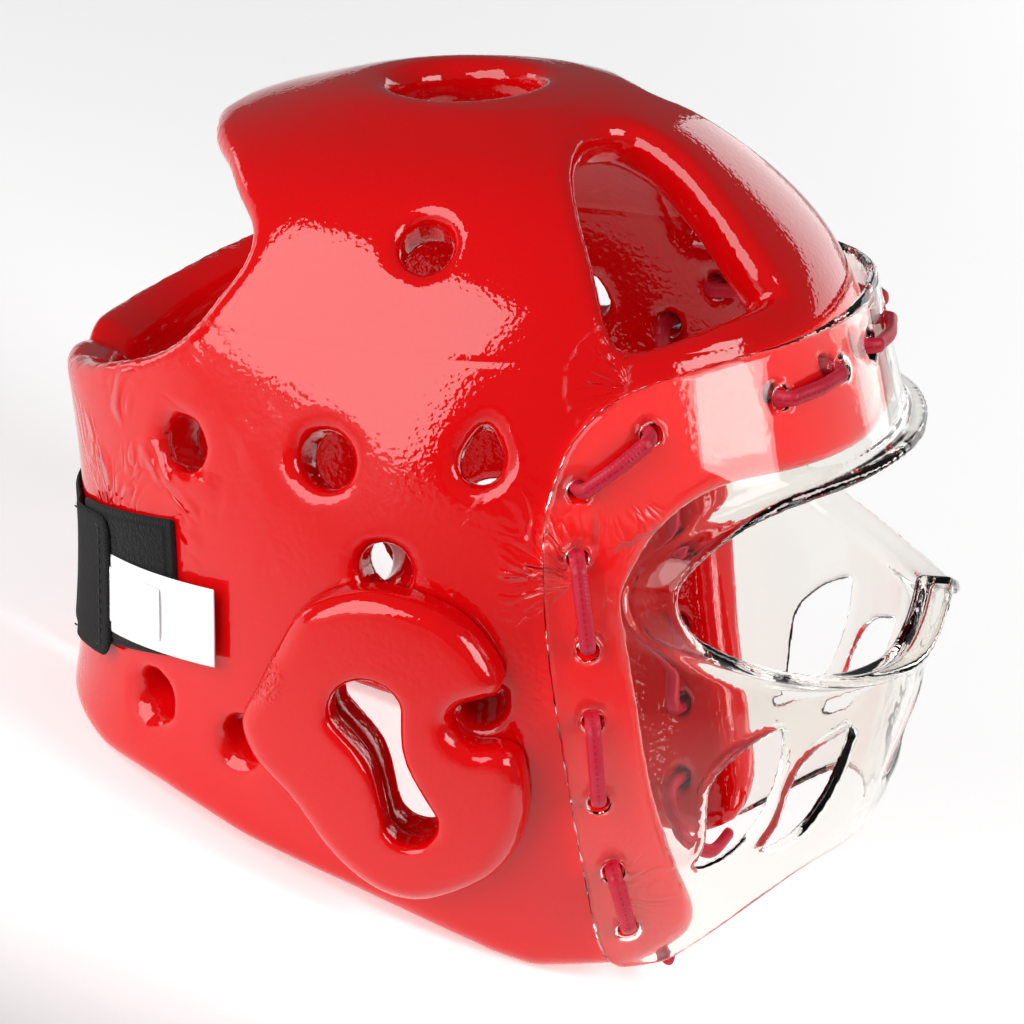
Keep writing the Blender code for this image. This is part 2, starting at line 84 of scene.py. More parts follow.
def lamp(name, towards, distance, width, height, watts):
    """A soft box that faces the guard from a direction given on the worn guard."""
    light = bpy.data.lights.new(name, 'AREA')
    light.shape, light.size, light.size_y, light.energy = 'RECTANGLE', width, height, watts
    box = bpy.data.objects.new(name, light)
    bpy.context.scene.collection.objects.link(box)
    way = lean(towards).normalized()
    box.location = Vector(put_down(LAMP_AIM)) + way * distance
    box.rotation_euler = way.to_track_quat('Z', 'Y').to_euler()


lamp("softbox_side", (-0.773, -0.445, 0.454), 0.8, 0.80, 0.62, 7.5)
lamp("softbox_front", (-0.36, 0.90, 0.26), 1.5, 0.75, 0.8, 14)
lamp("softbox_far", (0.88, 0.44, 0.10), 1.6, 1.3, 0.7, 5)
lamp("softbox_behind", (0.35, -0.9, 0.25), 1.6, 0.6, 0.7, 3)


def new_finish(name, colour, roughness, **values):
    """A material whose even values sit on the shader's own sockets."""
    finish = bpy.data.materials.new(name)
    finish.use_nodes = True
    shader = finish.node_tree.nodes["Principled BSDF"]
    shader.inputs["Base Color"].default_value = (*colour, 1)
    shader.inputs["Roughness"].default_value = roughness
    for socket, value in values.items():
        shader.inputs[socket.replace("_", " ")].default_value = value
    return finish


def node(finish, kind, settings=None, links=None):
    """Adds a node, with settings by attribute or socket name and links from other nodes' sockets."""
    made = finish.node_tree.nodes.new(kind)
    for key, value in (settings or {}).items():
        if isinstance(key, str) and hasattr(made, key):
            setattr(made, key, value)
        else:
            made.inputs[key].default_value = value
    for key, source in (links or {}).items():
        finish.node_tree.links.new(source, made.inputs[key])
    return made


def feed(finish, socket, output):
    """Leads a node's output into a socket of the finish's shader."""
    finish.node_tree.links.new(output, finish.node_tree.nodes["Principled BSDF"].inputs[socket])


room = bpy.data.worlds.new("room")
room.use_nodes = True
background = room.node_tree.nodes["Background"].inputs
background["Color"].default_value = (1, 1, 1, 1)
rays = node(room, "ShaderNodeLightPath").outputs
backdrop = node(room, "ShaderNodeMath", {"operation": 'MAXIMUM'},
                {0: rays["Is Transmission Ray"], 1: rays["Is Camera Ray"]})
room_light = node(room, "ShaderNodeMapRange", {"To Min": ROOM_LIGHT, "To Max": BACKDROP_LIGHT},
                  {"Value": backdrop.outputs["Value"]})
room.node_tree.links.new(room_light.outputs["Result"], background["Strength"])
bpy.context.scene.world = room
bpy.context.scene.view_settings.view_transform = 'Standard'

table_mesh = bpy.data.meshes.new("table")
table_mesh.from_pydata([(-6, -6, 0), (6, -6, 0), (6, 6, 0), (-6, 6, 0)], [], [(0, 1, 2, 3)])
table = bpy.data.objects.new("table", table_mesh)
bpy.context.scene.collection.objects.link(table)
# The table glows white with painted light near the guard, so its shadows stay bright. On the camera's side
# its colour darkens to painted shade, so the gloss there reflects a dark room.
table_painted_glow_and_shade = new_finish("table_painted_glow_and_shade", (0.93, 0.93, 0.93), 0.6, Emission_Color=(1, 1, 1, 1))
spot = node(table_painted_glow_and_shade, "ShaderNodeTexCoord").outputs["Object"]
across_table = node(table_painted_glow_and_shade, "ShaderNodeSeparateXYZ", {}, {"Vector": spot}).outputs["X"]
for socket, near, far in (("Emission Strength", 0.42, 0.0), ("Base Color", 0.93, 0.3)):
    painted_light_fade = node(table_painted_glow_and_shade, "ShaderNodeMapRange", {"From Min": TABLE_PAINTED_GLOW_AND_SHADE_SPAN[0], "From Max": TABLE_PAINTED_GLOW_AND_SHADE_SPAN[1],
                                                    "To Min": near, "To Max": far}, {"Value": across_table})
    feed(table_painted_glow_and_shade, socket, painted_light_fade.outputs["Result"])
table_mesh.materials.append(table_painted_glow_and_shade)

# Foam shell:
# The body of the guard: one piece of moulded foam, 16 mm thick, with every edge rounded, dipped in
# red vinyl that dries to a glossy skin. It is cut open for the face, the back of the head, the
# temples, the ears and the air, and split up the back for the strap to close.
WALL = 16.0
WIDEST = -5.0      # forward place of the widest part of every level
FRONT_POWER, REAR_POWER = 2.25, 2.2      # how full a level is in front and behind; 2 is an ellipse
HEAD_CENTRE = np.array([0.0, WIDEST, 126.0])
LACE_HOLE = 3.3      # radius
PARTING_HEIGHT = 192.0      # about 2.5 mm over the mould's parting line, which wanders
RED = (0.55, 0.001, 0.002)
# height, front reach, rear reach, half width of the outer form
SHELL_LEVELS = [
    (-12, 82, 127, 67), (26, 98, 131, 81.5), (54, 105, 132, 88.5), (72, 108.5, 129, 92),
    (100, 110.5, 126.5, 95.5), (126, 112, 126.5, 97), (150, 111, 129, 96), (172, 105.5, 132, 93),
    (188, 99, 130, 89.5), (201, 92, 123, 85), (213, 81, 113, 79), (229, 62.5, 96, 66),
    (240, 45, 71, 49), (246.5, 22, 42, 29), (249, -1, 9, 4)]
TEMPLE_OPENING = [(28, 238), (36, 241), (52, 234), (68, 220), (82, 203), (84, 199), (76, 197.5),
                  (62, 194), (51, 192.5), (45.5, 196), (38, 215)]
FACE_EDGE = [(113, 151), (95, 152), (80, 152), (69, 148), (60, 140), (54, 130), (51, 115),
             (53, 100), (55, 84), (58, 58), (62, 38), (67, 16), (74, -12)]
REAR_EDGE = [(-92, 233), (-79, 231), (-72, 226), (-65, 219), (-65, 211), (-72, 201),
             (-81, 190), (-92, 182), (-106, 176), (-120, 170), (-140, 163)]
ground = math.tan(math.radians(LEAN_BACK))
JAW_LINE = [(-160, 180 * ground), (-112, 132 * ground), (-101, 50.5), (-91, 48), (-77, 42.5), (-65, 37),
            (-46, 30), (-32, 24.5), (-17, 17.5), (-6, 12), (3, 7.6), (8, 12 * ground), (20, 0), (46, 0),
            (53, 3), (60, 7.5), (65, 13), (69, 21), (75, 24), (160, 24)]
REAR_SLIT = [(17.5, -20), (17.5, 54), (9.5, 58), (5, 66), (3.5, 76), (3.5, 134.5), (2.9, 136.5),
             (1.1, 137.8)]
# forward, height, bore radius, how far the dipped rim rolls outwards
VENTS = [(-10, 219, 7.6, 4.5), (-81, 157, 7.6, 4), (-36, 159, 8.2, 4.5), (-93, 75, 7.4, 4),
         (-18, 128, 7.6, 4), (-63, 68, 7.2, 4), (9, 89, 8, 1.5)]
ALMOND_VENT = [(11, 172.5), (16.5, 164), (15, 157), (10, 154.5), (4.5, 157), (4, 164)]
CROWN_HOLE = (-14, 21)
KEYHOLE = [(-21, 88, 10.8), (-15.5, 73, 5.6), (-9.5, 55, 7.9)]     # forward, height, radius
LACE_HOLES = [(49, 16), (46, 37), (43, 60), (42, 86), (41, 108), (38, 135), (38, 154), (57, 169),
              (90, 174), (103, 176.5), (108, 177.5)]


def evened(rows):
    """The rows' smooth curve, sampled each millimetre and eased where one row passes to the next."""
    rows = np.array(rows, float)
    steps = np.diff(rows[:, 0])
    slopes = np.diff(rows[:, 1:], axis=0) / steps[:, None]
    tangents = np.vstack([slopes[:1], (slopes[1:] + slopes[:-1]) / 2, slopes[-1:]])
    heights = np.arange(rows[0, 0], rows[-1, 0] + 0.5, 1.0)
    i = np.clip(np.searchsorted(rows[:, 0], heights, side="right") - 1, 0, len(rows) - 2)
    t = ((heights - rows[i, 0]) / steps[i])[:, None]
    run = steps[i][:, None]
    values = (rows[i, 1:] * (2 * t**3 - 3 * t**2 + 1) + tangents[i] * run * (t**3 - 2 * t**2 + t)
              + rows[i + 1, 1:] * (3 * t**2 - 2 * t**3) + tangents[i + 1] * run * (t**3 - t**2))
    eased = values.copy()
    for _ in range(30):
        eased[1:-1] += 0.25 * (eased[2:] + eased[:-2] - 2 * eased[1:-1])
    # the top of the form keeps its exact curve
    keep = np.clip((heights - rows[-3, 0]) / 6.0, 0, 1)[:, None]
    return heights, eased * (1 - keep) + values * keep


def reaches(form, height):
    """Front reach, rear reach and half width of a form at a height."""
    heights, values = form
    return [np.interp(height, heights, values[:, k]) for k in range(3)]


def ring(form, height, count=320):
    """A closed level of a form, all round the head."""
    front, rear, half = reaches(form, height)
    angle = np.linspace(0, 2 * np.pi, count, endpoint=False)
    c, s = np.cos(angle), np.sin(angle)
    reach = np.where(c > 0, front - WIDEST, rear + WIDEST)
    power = 2 / np.where(c > 0, FRONT_POWER, REAR_POWER)
    return np.stack([-half * np.sign(s) * np.abs(s) ** power,
                     WIDEST + reach * np.sign(c) * np.abs(c) ** power, np.full(count, height)], -1)


def beside(form, forward, height):
    """Half width of a form at a forward place and height."""
    front, rear, half = reaches(form, height)
    reach, power = (front - WIDEST, FRONT_POWER) if forward > WIDEST else (rear + WIDEST, REAR_POWER)
    return half * (1 - min(abs(forward - WIDEST) / reach, 1) ** power) ** (1 / power)


def curved(points, steps=6, closed=True):
    """More points on a smooth curve through the given ones."""
    points = np.array(points, float)
    count = len(points)
    result = []
    for i in range(count if closed else count - 1):
        p1, p2 = points[i], points[(i + 1) % count]
        p0 = points[i - 1] if closed or i else p1
        p3 = points[(i + 2) % count] if closed or i + 2 < count else p2
        for t in np.arange(steps) / steps:
            result.append(0.5 * (2 * p1 + (p2 - p0) * t + (2 * p0 - 5 * p1 + 4 * p2 - p3) * t**2
                                 + (3 * p1 - p0 - 3 * p2 + p3) * t**3))
    return np.array(result if closed else result + [points[-1]])


def closed_body(loops):
    """Points and triangles of loops joined in order and closed at both ends."""
    loops = np.array(loops, float)
    rows, count = loops.shape[:2]
    points = np.vstack([loops.reshape(-1, 3), loops[0].mean(0), loops[-1].mean(0)])
    k = np.arange(count)
    m = (k + 1) % count
    faces = []
    for r in range(rows - 1):
        a, b, c, d = r * count + k, r * count + m, (r + 1) * count + m, (r + 1) * count + k
        faces += [np.stack([a, b, c], -1), np.stack([a, c, d], -1)]
    faces += [np.stack([m, k, np.full(count, len(points) - 2)], -1),
              np.stack([(rows - 1) * count + k, (rows - 1) * count + m,
                        np.full(count, len(points) - 1)], -1)]
    return points, np.vstack(faces)


def outwards(loop, inner=0.5, outer=2.2):
    """A cutting body that widens from the head's centre through a loop on the form."""
    shares = np.linspace(inner, outer, 12)
    return closed_body([HEAD_CENTRE + (np.array(loop) - HEAD_CENTRE) * share for share in shares])


def across(outline, start, end, axis=0):
    """A straight cutting body: a (forward, height) outline along the side axis, or a (side, height)
    one along the forward axis."""
    outline = np.array(outline, float)
    loops = []
    for place in np.linspace(start, end, 9):
        loops.append(np.insert(outline, axis, place, axis=1))
    return closed_body(loops)


def bore(place, axis, radius, start, end, sides=32):
    """A round cutting body along an axis."""
    axis = np.array(axis, float) / np.linalg.norm(axis)
    first = np.cross(axis, (0.0, 0.6, 0.8))
    first /= np.linalg.norm(first)
    second = np.cross(axis, first)
    angle = np.linspace(0, 2 * np.pi, sides, endpoint=False)[:, None]
    rim = radius * (np.cos(angle) * first + np.sin(angle) * second)
    return closed_body([np.array(place) + axis * depth + rim for depth in np.linspace(start, end, 7)])


def distances(bodies, low, high, cell, band):
    """How far each point of a block of space lies outside closed bodies, in millimetres."""
    size = np.round((np.array(high) - low) / cell).astype(int) + 1
    far = np.full(tuple(size), band, np.float32)
    for points, faces in bodies:
        level_set = openvdb.FloatGrid.createLevelSetFromPolygons(
            ((points - low) / cell).astype(np.float32), triangles=faces.astype(np.uint32),
            halfWidth=band / cell)
        block = np.zeros(tuple(size), np.float32)
        level_set.copyToArray(block)
        far = np.minimum(far, block * cell)
    return far


def cut_away(body, tool, rounding):
    """Takes one field from another and rounds the new edge."""
    a, b = body, -tool
    return (np.minimum(np.maximum(a, b), -rounding)
            + np.hypot(np.maximum(a + rounding, 0), np.maximum(b + rounding, 0)))


def skin(field, low, cell, smoothing=4):
    """The surface of a field as points and quads, with the steps of its cells smoothed out."""
    grid = openvdb.FloatGrid(float(field.max()))
    grid.copyFromArray(np.ascontiguousarray(field, dtype=np.float32))
    points, quads = grid.convertToQuads(0.0)
    points, quads = points.astype(float), quads.astype(int)
    first, second = quads.ravel(), np.roll(quads, -1, axis=1).ravel()
    ends = np.concatenate([first, second]), np.concatenate([second, first])
    near = np.bincount(ends[0], minlength=len(points))[:, None]
    for step in range(2 * smoothing):
        pull = np.stack([np.bincount(ends[0], points[ends[1], k], len(points)) for k in range(3)], -1)
        points += (0.5 if step % 2 == 0 else -0.52) * (pull / near - points)
    return points * cell + low, quads


def make_mesh(name, points, quads, material):
    """A smooth-shaded piece on the leaning guard, from places on the worn one."""
    mesh = bpy.data.meshes.new(name)
    placed = put_down(points)
    a, b, c = (placed[quads[:, k]] for k in range(3))
    if np.einsum('ij,ij->i', np.cross(b - a, c - a), a).sum() < 0:
        quads = quads[:, ::-1]
    sides = quads.shape[1]
    mesh.vertices.add(len(placed))
    mesh.vertices.foreach_set("co", placed.ravel())
    mesh.loops.add(quads.size)
    mesh.loops.foreach_set("vertex_index", quads.ravel())
    mesh.polygons.add(len(quads))
    mesh.polygons.foreach_set("loop_start", np.arange(0, quads.size, sides))
    mesh.polygons.foreach_set("use_smooth", np.ones(len(quads), bool))
    mesh.update()
    mesh.validate()
    mesh.materials.append(material)
    piece = bpy.data.objects.new(name, mesh)
    bpy.context.scene.collection.objects.link(piece)
    return piece


def mirrored(loop):
    """A loop and its mirror image on the guard's other side."""
    loop = np.array(loop, float)
    return [loop, loop * (-1, 1, 1)]


def over_the_middle(edge):
    """A loop down the right side along an edge and back up the left one."""
    right_half = np.array(edge) * (-1, 1, 1)
    return np.vstack([right_half, (right_half * (-1, 1, 1))[::-1][right_half[::-1, 0] < -1e-6]])


def on_form(form, outline, closed=True):
    """A smooth (forward, height) outline laid on a form's left side."""
    return [(beside(form, f, h), f, h) for f, h in curved(outline, closed=closed)]


def keyhole_outline(grow):
    """Two round ends joined by a waist, as (forward, height) points."""
    stations = curved(KEYHOLE, 8, False)
    places, radii = stations[:, :2], stations[:, 2] + grow
    run = (places[-1] - places[0]) / np.linalg.norm(places[-1] - places[0])
    side = np.array([-run[1], run[0]])
    arc = np.linspace(0, np.pi, 20)
    low_end = [places[-1] + radii[-1] * (np.cos(a) * side + np.sin(a) * run) for a in arc]
    high_end = [places[0] - radii[0] * (np.cos(a) * side + np.sin(a) * run) for a in arc]
    middle = range(1, len(places) - 1)
    return np.array([places[i] + side * radii[i] for i in middle] + low_end
                    + [places[i] - side * radii[i] for i in reversed(middle)] + high_end)


foam_form = evened(SHELL_LEVELS)
CELL = 2.0
shell_low, shell_high = np.array([-104.0, -140.0, -14.0]), np.array([104.0, 120.0, 256.0])
foam_rings = [ring(foam_form, h) for h in np.concatenate([
    np.arange(-12, 228, 4), np.arange(228, 249, 1.5), [249.0]])]
# closed well below the jaw, which is cut later
foam_body = closed_body([ring(foam_form, -12) - (0, 0, 30)] + foam_rings)
outer = distances([foam_body], shell_low, shell_high, CELL, 24)
foam = np.maximum(outer, -(outer + WALL))

jaw_cut = across(JAW_LINE + [(160, -60), (-160, -60)], -140, 140)
face_cut = outwards(over_the_middle(on_form(foam_form, FACE_EDGE, False)), 0.4, 2.4)
rear_cut = outwards(over_the_middle(on_form(foam_form, REAR_EDGE, False)), 0.4, 2.4)
slit_cut = across(REAR_SLIT + [(-s, h) for s, h in reversed(REAR_SLIT)], -180, -90, 1)
temple_cuts = [outwards(loop) for loop in mirrored(on_form(foam_form, TEMPLE_OPENING))]
almond_cuts = [outwards(loop) for loop in mirrored(on_form(foam_form, ALMOND_VENT))]
keyhole_cuts = [across(keyhole_outline(0.6), *span) for span in ((-130, -60), (60, 130))]
crown_place = np.array([0, CROWN_HOLE[0], 249.0])
crown_cut = bore(crown_place, crown_place - HEAD_CENTRE, CROWN_HOLE[1], -60, 40, 64)
# each cut, and the radius to which its edge is rounded
for tools, rounding in (([rear_cut], 6.5), ([jaw_cut], 6.0), ([face_cut], 6.0), ([slit_cut], 5.0),
                        (temple_cuts, 6.0), (almond_cuts, 4.0), ([crown_cut], 6.5), (keyhole_cuts, 3.0)):
    foam = cut_away(foam, distances(tools, shell_low, shell_high, CELL, 14), rounding)
for forward, height, radius, rolled in VENTS:
    place = np.array([beside(foam_form, forward, height), forward, height])
    tools = [bore(p, p - HEAD_CENTRE, radius, -45, 25) for p in mirrored(place)]
    foam = cut_away(foam, distances(tools, shell_low, shell_high, CELL, 10), rolled)


def hole_axis(place):
    """Level direction straight out of the shield at a lace hole."""
    side, forward, height = place
    front, _, half = reaches(shield_form, height)
    share = (forward - WIDEST) / (front - WIDEST)
    slope = np.array([np.sign(side) * abs(side / half) ** (FRONT_POWER - 1) / half,
                      share ** (FRONT_POWER - 1) / (front - WIDEST), 0])
    return slope / np.linalg.norm(slope)


# height, front reach, rear reach, half width of the shield's outer face, which the lace holes follow
SHIELD_LEVELS = [
    (-14, 82, 100, 70), (2, 92, 100, 76), (16, 101, 100, 82), (36, 112, 100, 88.5),
    (56, 118.5, 100, 93.5), (76, 123, 100, 97.5), (96, 124, 100, 100), (126, 120.5, 100, 101.5),
    (148, 115.5, 100, 100.5), (166, 111.5, 100, 98), (181, 108, 100, 95), (196, 104.5, 100, 90)]
shield_form = evened(SHIELD_LEVELS)
holes_right = np.array([(-beside(shield_form, f, h), f, h) for f, h in LACE_HOLES])
lace_holes = np.vstack([holes_right, (holes_right * (-1, 1, 1))[::-1]])
lace_axes = np.array([hole_axis(p) for p in lace_holes])
hole_cuts = [bore(p, a, LACE_HOLE, -38, 10, 16) for p, a in zip(lace_holes, lace_axes)]
foam = cut_away(foam, distances(hole_cuts, shell_low, shell_high, CELL, 8), 2.0)

# Where the skin gathers into folds that fan out: side, forward, height, reach, depth, and the way
# the fan opens, to the rear and up
FOLDS = [(-62, -111, 122, 72, 1.0, -0.5, 0.85), (-92, 37, 127, 32, 0.8, 0.75, 0.65),
         (-80, 49, 182, 16, 0.5, 0.9, 0.3), (-90, 43, 124, 26, 0.5, -1.0, 0.1),
         (-90, 47, 157, 22, 0.5, -0.5, -0.8), (-77, 40, 30, 26, 0.5, -1.0, -0.2)]
foam_points, foam_quads = skin(foam, shell_low, CELL)

red_dip = new_finish("red_dip", RED, 0.045)


def mark(piece, name, values):
    """Gives each point of a piece a number, or three, that its finish reads."""
    values = np.asarray(values, np.float32)
    kind, field = ('FLOAT', "value") if values.ndim == 1 else ('FLOAT_VECTOR', "vector")
    piece.data.attributes.new(name, kind, 'POINT').data.foreach_set(field, values.ravel())


def marked(finish, name, output="Fac"):
    """The values that the points were marked with, as a socket of the finish."""
    return node(finish, "ShaderNodeAttribute", {"attribute_name": name}).outputs[output]


def dip_relief(finish, wrinkled):
    """The dip's slow waves and orange peel, and folds where the piece carries a wrinkle mask."""
    spot = node(finish, "ShaderNodeTexCoord").outputs["Object"]
    waves = node(finish, "ShaderNodeTexNoise", {"Scale": 16.0, "Detail": 0.0}, {"Vector": spot})
    peel = node(finish, "ShaderNodeTexNoise", {"Scale": 520.0, "Detail": 1.0}, {"Vector": spot})
    low = node(finish, "ShaderNodeBump", {"Strength": 0.35, "Distance": 0.002},
               {"Height": waves.outputs["Fac"]})
    last = node(finish, "ShaderNodeBump", {"Strength": 0.28, "Distance": 0.0003},
                {"Height": peel.outputs["Fac"], "Normal": low.outputs["Normal"]})
    if wrinkled:
        last = folds_and_parting_line(finish, spot, last)
    feed(finish, "Normal", last.outputs["Normal"])


def folds_and_parting_line(finish, spot, under):
    """Over a relief, the folds that fan out where the skin gathers, and the mould's parting line."""
    folds = node(finish, "ShaderNodeTexNoise", {"Scale": 1.0, "Detail": 1.0, "Distortion": 0.9},
                 {"Vector": marked(finish, "fan", "Vector")})
    crest = node(finish, "ShaderNodeMath", {"operation": 'SUBTRACT', 1: 0.5}, {0: folds.outputs["Fac"]})
    ridge = node(finish, "ShaderNodeMath", {"operation": 'ABSOLUTE'}, {0: crest.outputs["Value"]})
    spread = node(finish, "ShaderNodeTexNoise", {"Scale": 55.0, "Detail": 0.0}, {"Vector": spot})
    patch = node(finish, "ShaderNodeMapRange", {"From Min": 0.42, "From Max": 0.62},
                 {"Value": spread.outputs["Fac"]})
    share = node(finish, "ShaderNodeMath", {"operation": 'MULTIPLY'},
                 {0: patch.outputs["Result"], 1: marked(finish, "fold_depth")})
    deep = node(finish, "ShaderNodeMath", {"operation": 'MULTIPLY'},
                {0: ridge.outputs["Value"], 1: share.outputs["Value"]})
    folded = node(finish, "ShaderNodeBump", {"Strength": 1.0, "Distance": 0.008},
                  {"Height": deep.outputs["Value"], "Normal": under.outputs["Normal"]})
    wander = node(finish, "ShaderNodeTexNoise", {"Scale": 9.0, "Detail": 0.0}, {"Vector": spot})
    line = node(finish, "ShaderNodeMath", {"operation": 'MULTIPLY_ADD', 1: 5.0},
                {0: wander.outputs["Fac"], 2: marked(finish, "level")})
    off = node(finish, "ShaderNodeMath", {"operation": 'SUBTRACT', 1: PARTING_HEIGHT},
               {0: line.outputs["Value"]})
    away = node(finish, "ShaderNodeMath", {"operation": 'ABSOLUTE'}, {0: off.outputs["Value"]})
    groove = node(finish, "ShaderNodeMapRange", {"From Min": 0.0, "From Max": 1.8},
                  {"Value": away.outputs["Value"]})
    return node(finish, "ShaderNodeBump", {"Strength": 0.35, "Distance": 0.0004},
                {"Height": groove.outputs["Result"], "Normal": folded.outputs["Normal"]})


dip_relief(red_dip, True)
foam_shell = make_mesh("foam_shell", foam_points, foam_quads, red_dip)
fold_depth, fan = np.zeros(len(foam_points)), np.zeros((len(foam_points), 3))
cells = np.round((foam_points - shell_low) / CELL).astype(int)
on_outside = outer[cells[:, 0], cells[:, 1], cells[:, 2]] > -4
for turn in (1, -1):
    for number, (side, forward, height, reach, depth, to_rear, to_top) in enumerate(FOLDS):
        root = np.array([side * turn, forward, height])
        out = (root - (0, WIDEST, height)) / np.linalg.norm(root - (0, WIDEST, height))
        level_way = np.cross((0, 0, 1), out)
        place = foam_points - root
        radius = np.linalg.norm(place, axis=1) + 1e-6
        bearing = np.stack([place @ level_way, place[:, 2]], -1) / radius[:, None]
        opens = np.clip(1.4 * bearing @ np.array([to_rear * turn, to_top]) - 0.2, 0, 1)
        mask = on_outside * opens * depth * np.clip(1.15 - radius / reach, 0, 1) * np.clip(radius / 12, 0, 1)
        chosen = mask > fold_depth
        fold_depth[chosen] = mask[chosen]
        fan[chosen] = np.column_stack([bearing * 3.2, radius * 0.07 + number * 7])[chosen]
for name, values in (("fold_depth", fold_depth), ("fan", fan), ("level", foam_points[:, 2])):
    mark(foam_shell, name, values)
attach(foam_shell, "root")
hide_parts("shell")

# Ear pads:
# A thick pad of the same foam, dipped like the shell and glued on over each ear: its edge is rolled
# over all round, a keyhole lets sound through to the ear, and a notch in front clears a vent.
PAD_OUTLINE = [(-58, 80), (-54, 89), (-46, 105), (-40, 115), (-31, 121), (-20, 124), (-8, 122.5),
               (4, 117.5), (12, 109), (16, 99.5), (12, 96), (5, 93.5), (1.5, 88), (3.5, 82),
               (9, 78.5), (16, 78.5), (20.5, 75), (22, 63), (20.5, 52), (14, 41), (4, 34), (-9, 29.5),
               (-21, 32.5), (-33, 43), (-44, 59), (-54, 69.5)]
PAD_DEPTH = 14.0
PAD_CELL = 1.4
pad_low, pad_high = np.array([60.0, -68.0, 20.0]), np.array([126.0, 32.0, 134.0])
around_ear = distances([foam_body], pad_low, pad_high, PAD_CELL, 20)
pad_plan = distances([across(curved(PAD_OUTLINE, 5), 50, 140)], pad_low, pad_high, PAD_CELL, 12)
pad_hole = distances([across(keyhole_outline(0.0), 50, 140)], pad_low, pad_high, PAD_CELL, 8)
pad = cut_away(around_ear - PAD_DEPTH, 1.5 - pad_plan, 6.5)
pad = cut_away(pad, around_ear - 0.5, 1.0)
pad = cut_away(pad, pad_hole, 3.0)
pad_points, pad_quads = skin(pad, pad_low, PAD_CELL)
pad_dip = new_finish("pad_dip", RED, 0.05)
dip_relief(pad_dip, False)
# where the dip has drawn into small cells round the pad's rear edge
CELLS_AT, CELLS_REACH = (-106, -55, 97), 11.0
cells = node(pad_dip, "ShaderNodeTexVoronoi", {"Scale": 900.0, "feature": 'SMOOTH_F1'},
             {"Vector": node(pad_dip, "ShaderNodeTexCoord").outputs["Object"]})
cell_height = node(pad_dip, "ShaderNodeMath", {"operation": 'MULTIPLY'},
                   {0: cells.outputs["Distance"], 1: marked(pad_dip, "cells")})
dip_normal = pad_dip.node_tree.nodes["Principled BSDF"].inputs["Normal"].links[0].from_socket
cell_bump = node(pad_dip, "ShaderNodeBump", {"Strength": 1.0, "Distance": 0.0011},
                 {"Height": cell_height.outputs["Value"], "Normal": dip_normal})
feed(pad_dip, "Normal", cell_bump.outputs["Normal"])
for name, turn in (("ear_pad_right", -1), ("ear_pad_left", 1)):
    pad_piece = make_mesh(name + "_foam", pad_points * (turn, 1, 1), pad_quads, pad_dip)
    away = np.linalg.norm(pad_points * (-1, 1, 1) - CELLS_AT, axis=1) / CELLS_REACH
    mark(pad_piece, "cells", np.clip(3 - 3 * away, 0, 1))
    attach(pad_piece, "root")
    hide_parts(name)

# Face shield:
# One moulding of clear plastic 3.2 mm thick, with polished edges. A rim stands forward all round
# the eye opening, slots let the breath out, and its edge is pierced for the lace.
SHIELD_THICK = 3.2
SHIELD_OUTLINE = [(45, 1.5), (40, 9), (37, 38), (33, 75), (29, 112), (28, 141), (30, 154),
                  (36, 169), (48, 180), (69, 186), (93, 189), (112, 192), (150, 196)]
SHIELD_LOWER_EDGE = [(150, 33), (112, 31), (98, 29), (87, 23), (67, 8.5), (57, 2.5), (45, 1.5)]
EYE_OUTLINE = [(0, 146), (-30, 147), (-61, 146), (-75, 143.5), (-84, 138), (-89.5, 130), (-91, 122),
               (-89, 112), (-83, 104), (-74, 98), (-61, 93), (-45, 91), (-30, 92.5), (-14, 99),
               (0, 104.5)]
RIM_WIDTH, RIM_ROUNDING = 3.2, 1.4
RIM_FORWARD = [(91, 8.5), (147, 5.5)]      # height, how far the rim stands forward
OUTER_SLOT = [(68.5, 35), (72, 45), (73.5, 62), (80, 71), (89, 77), (93, 77.5), (92.5, 68),
              (90, 58), (85, 47), (77, 38)]
INNER_SLOT = [(86, 37.5), (91, 47), (94, 57), (97, 64), (101, 69), (106, 71.5), (109.5, 72.5),
              (108.5, 67), (104.5, 56), (100, 47.5), (94.5, 41)]
CHIN_SLOT = [(0, 71), (-6, 66), (-13, 57), (-17, 50), (-14, 47.5), (0, 47)]
SHIELD_CELL, SHIELD_SMOOTHING = 1.1, 9
shield_low, shield_high = np.array([-107.0, 18.0, -6.0]), np.array([107.0, 140.0, 202.0])


def ahead(side, height):
    """Forward place of the shield's outer face."""
    front, _, half = reaches(shield_form, height)
    fall = (1 - np.minimum(abs(side) / half, 1) ** FRONT_POWER) ** (1 / FRONT_POWER)
    return WIDEST + (front - WIDEST) * fall


def symmetric(half_outline):
    """The whole of a smooth (side, height) outline, from its right half."""
    half = curved(half_outline, closed=False)
    return np.vstack([half, (half * (-1, 1))[::-1][1:-1]])


eye = symmetric(EYE_OUTLINE)
run = np.roll(eye, -1, axis=0) - np.roll(eye, 1, axis=0)
eye_normal = np.stack([run[:, 1], -run[:, 0]], 1) / np.linalg.norm(run, axis=1)[:, None]
eye_normal *= np.sign(np.einsum('ij,ij->i', eye_normal, eye - (0, 120)).sum())


def rim_loop(grow, front):
    """The rim's base in the shield, or its free edge, at a distance from the eye opening."""
    plan = eye + eye_normal * grow
    base = eye if front else plan
    shift = np.interp(base[:, 1], *zip(*RIM_FORWARD)) - RIM_ROUNDING if front else -SHIELD_THICK / 2
    return np.stack([plan[:, 0], ahead(base[:, 0], base[:, 1]) + shift, plan[:, 1]], -1)


